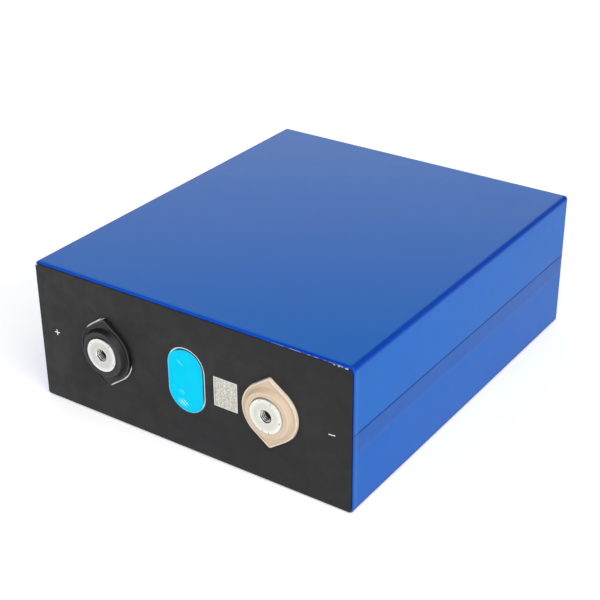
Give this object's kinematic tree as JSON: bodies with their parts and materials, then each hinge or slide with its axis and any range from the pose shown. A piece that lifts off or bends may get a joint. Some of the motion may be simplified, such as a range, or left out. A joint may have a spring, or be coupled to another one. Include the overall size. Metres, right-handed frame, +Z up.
{
  "type": "prismatic battery cell",
  "caption": "Film-wrapped flat rectangular battery cell with a tapped round terminal on each side of a central vent, lying on a wide face.",
  "frame": {"origin": "on the surface the cell lies on, under the middle of its bounding box", "axes": "+Z up through the cell's thickness; +Y from the terminals to the bottom of the can; +X across the width, from the positive terminal to the negative terminal"},
  "size_m": [0.1738, 0.2072, 0.0717],
  "materials": {
    "blue_film": "satin-gloss blue polyester film",
    "clear_film": "clear thin film",
    "black_sheet": "fine matt black sheet",
    "cyan_film": "glossy cyan film",
    "label": "silver-white printed patch",
    "aluminium": "plain drawn, stamped and turned aluminium",
    "copper": "plain copper",
    "black_plastic": "black moulded plastic",
    "tan_plastic": "tan moulded plastic",
    "white_plastic": "white moulded plastic",
    "rubber": "dark seal rubber",
    "electrode": "separator over dark electrode foil",
    "green_tape": "green adhesive tape"
  },
  "bodies": {
    "root": {"wrap_film": "blue_film", "bottom_pad": "clear_film", "can": "aluminium", "core_bag": "clear_film", "core_bottom_support": "white_plastic", "wound_core_a": "electrode", "wound_core_b": "electrode", "core_tape_a": "green_tape", "core_tape_b": "green_tape", "positive_tabs_a": "aluminium", "positive_tabs_b": "aluminium", "negative_tabs_a": "copper", "negative_tabs_b": "copper", "cover_plate": "aluminium", "vent_membrane": "aluminium", "vent_film": "cyan_film", "fill_port_plug": "rubber", "fill_port_cap": "aluminium", "top_sheet": "black_sheet", "marking_label": "label", "positive_outer_insulator": "black_plastic", "positive_terminal": "aluminium", "positive_seal_ring": "rubber", "positive_inner_insulator": "white_plastic", "positive_post_base": "aluminium", "positive_collector": "aluminium", "positive_weld_tape": "green_tape", "negative_outer_insulator": "tan_plastic", "negative_terminal": "aluminium", "negative_seal_ring": "rubber", "negative_inner_insulator": "white_plastic", "negative_post_base": "copper", "negative_collector": "copper", "negative_weld_tape": "green_tape"}
  },
  "joints": []
}
